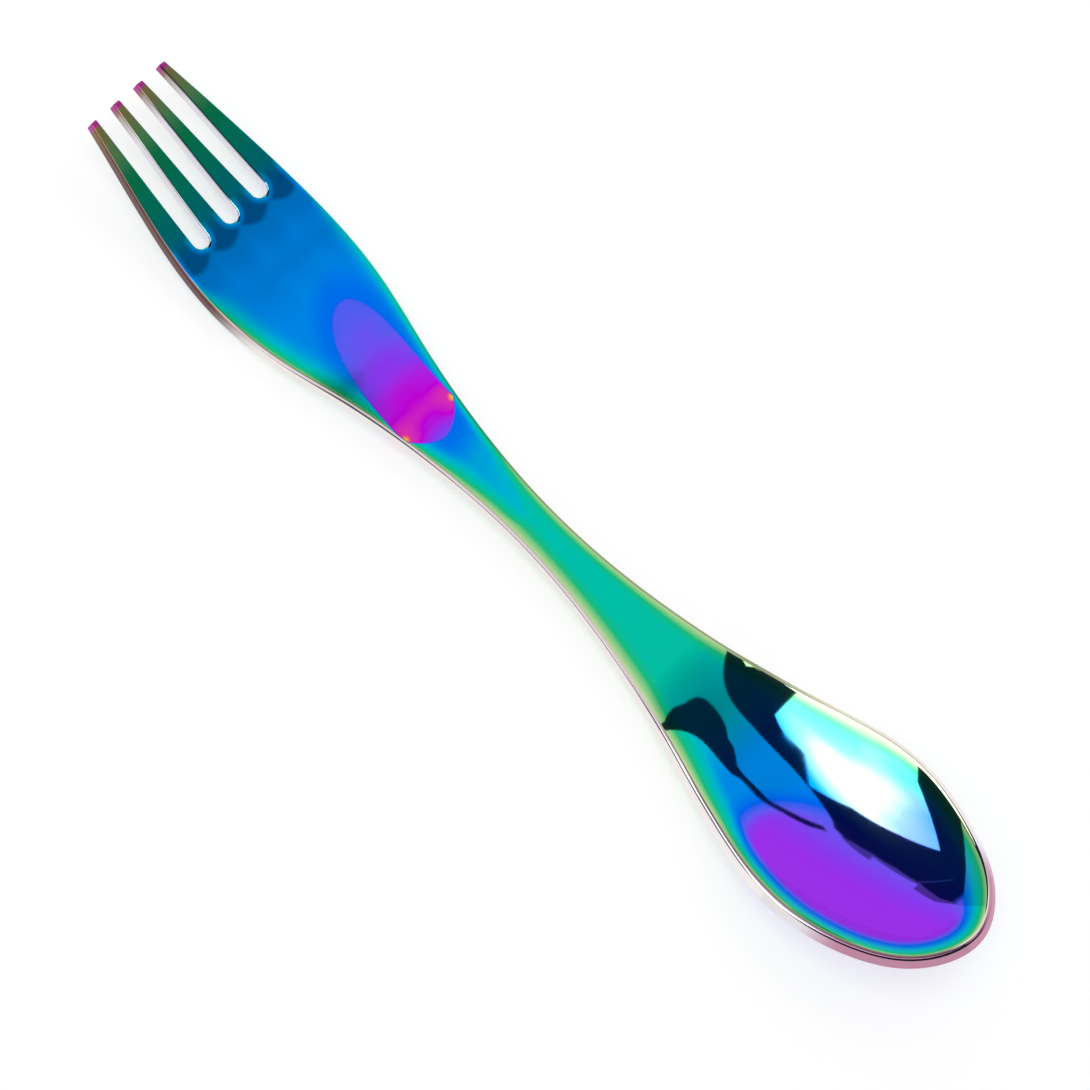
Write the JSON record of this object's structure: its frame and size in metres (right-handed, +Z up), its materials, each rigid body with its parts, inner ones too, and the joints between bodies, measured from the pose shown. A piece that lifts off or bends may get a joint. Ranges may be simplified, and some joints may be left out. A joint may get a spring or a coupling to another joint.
{
  "type": "spork",
  "caption": "Double-ended polished metal spork with an iridescent coating: a fork head and a spoon bowl on one slim flat handle.",
  "frame": {"origin": "middle of the footprint, on the surface that the spork rests on", "axes": "+X from the tine tips to the bowl's tip, +Y across the spork, +Z up, out of the bowl"},
  "size_m": [0.1966, 0.0378, 0.0141],
  "materials": {
    "rainbow_steel": "mirror-polished stainless steel with a thin rainbow coating, magenta at the tines, blue to cyan on the palm and handle, green to violet in the bowl"
  },
  "bodies": {
    "root": {"spoon_bowl": "rainbow_steel", "handle": "rainbow_steel", "fork_palm": "rainbow_steel", "tine_1": "rainbow_steel", "tine_2": "rainbow_steel", "tine_3": "rainbow_steel", "tine_4": "rainbow_steel"}
  },
  "joints": []
}
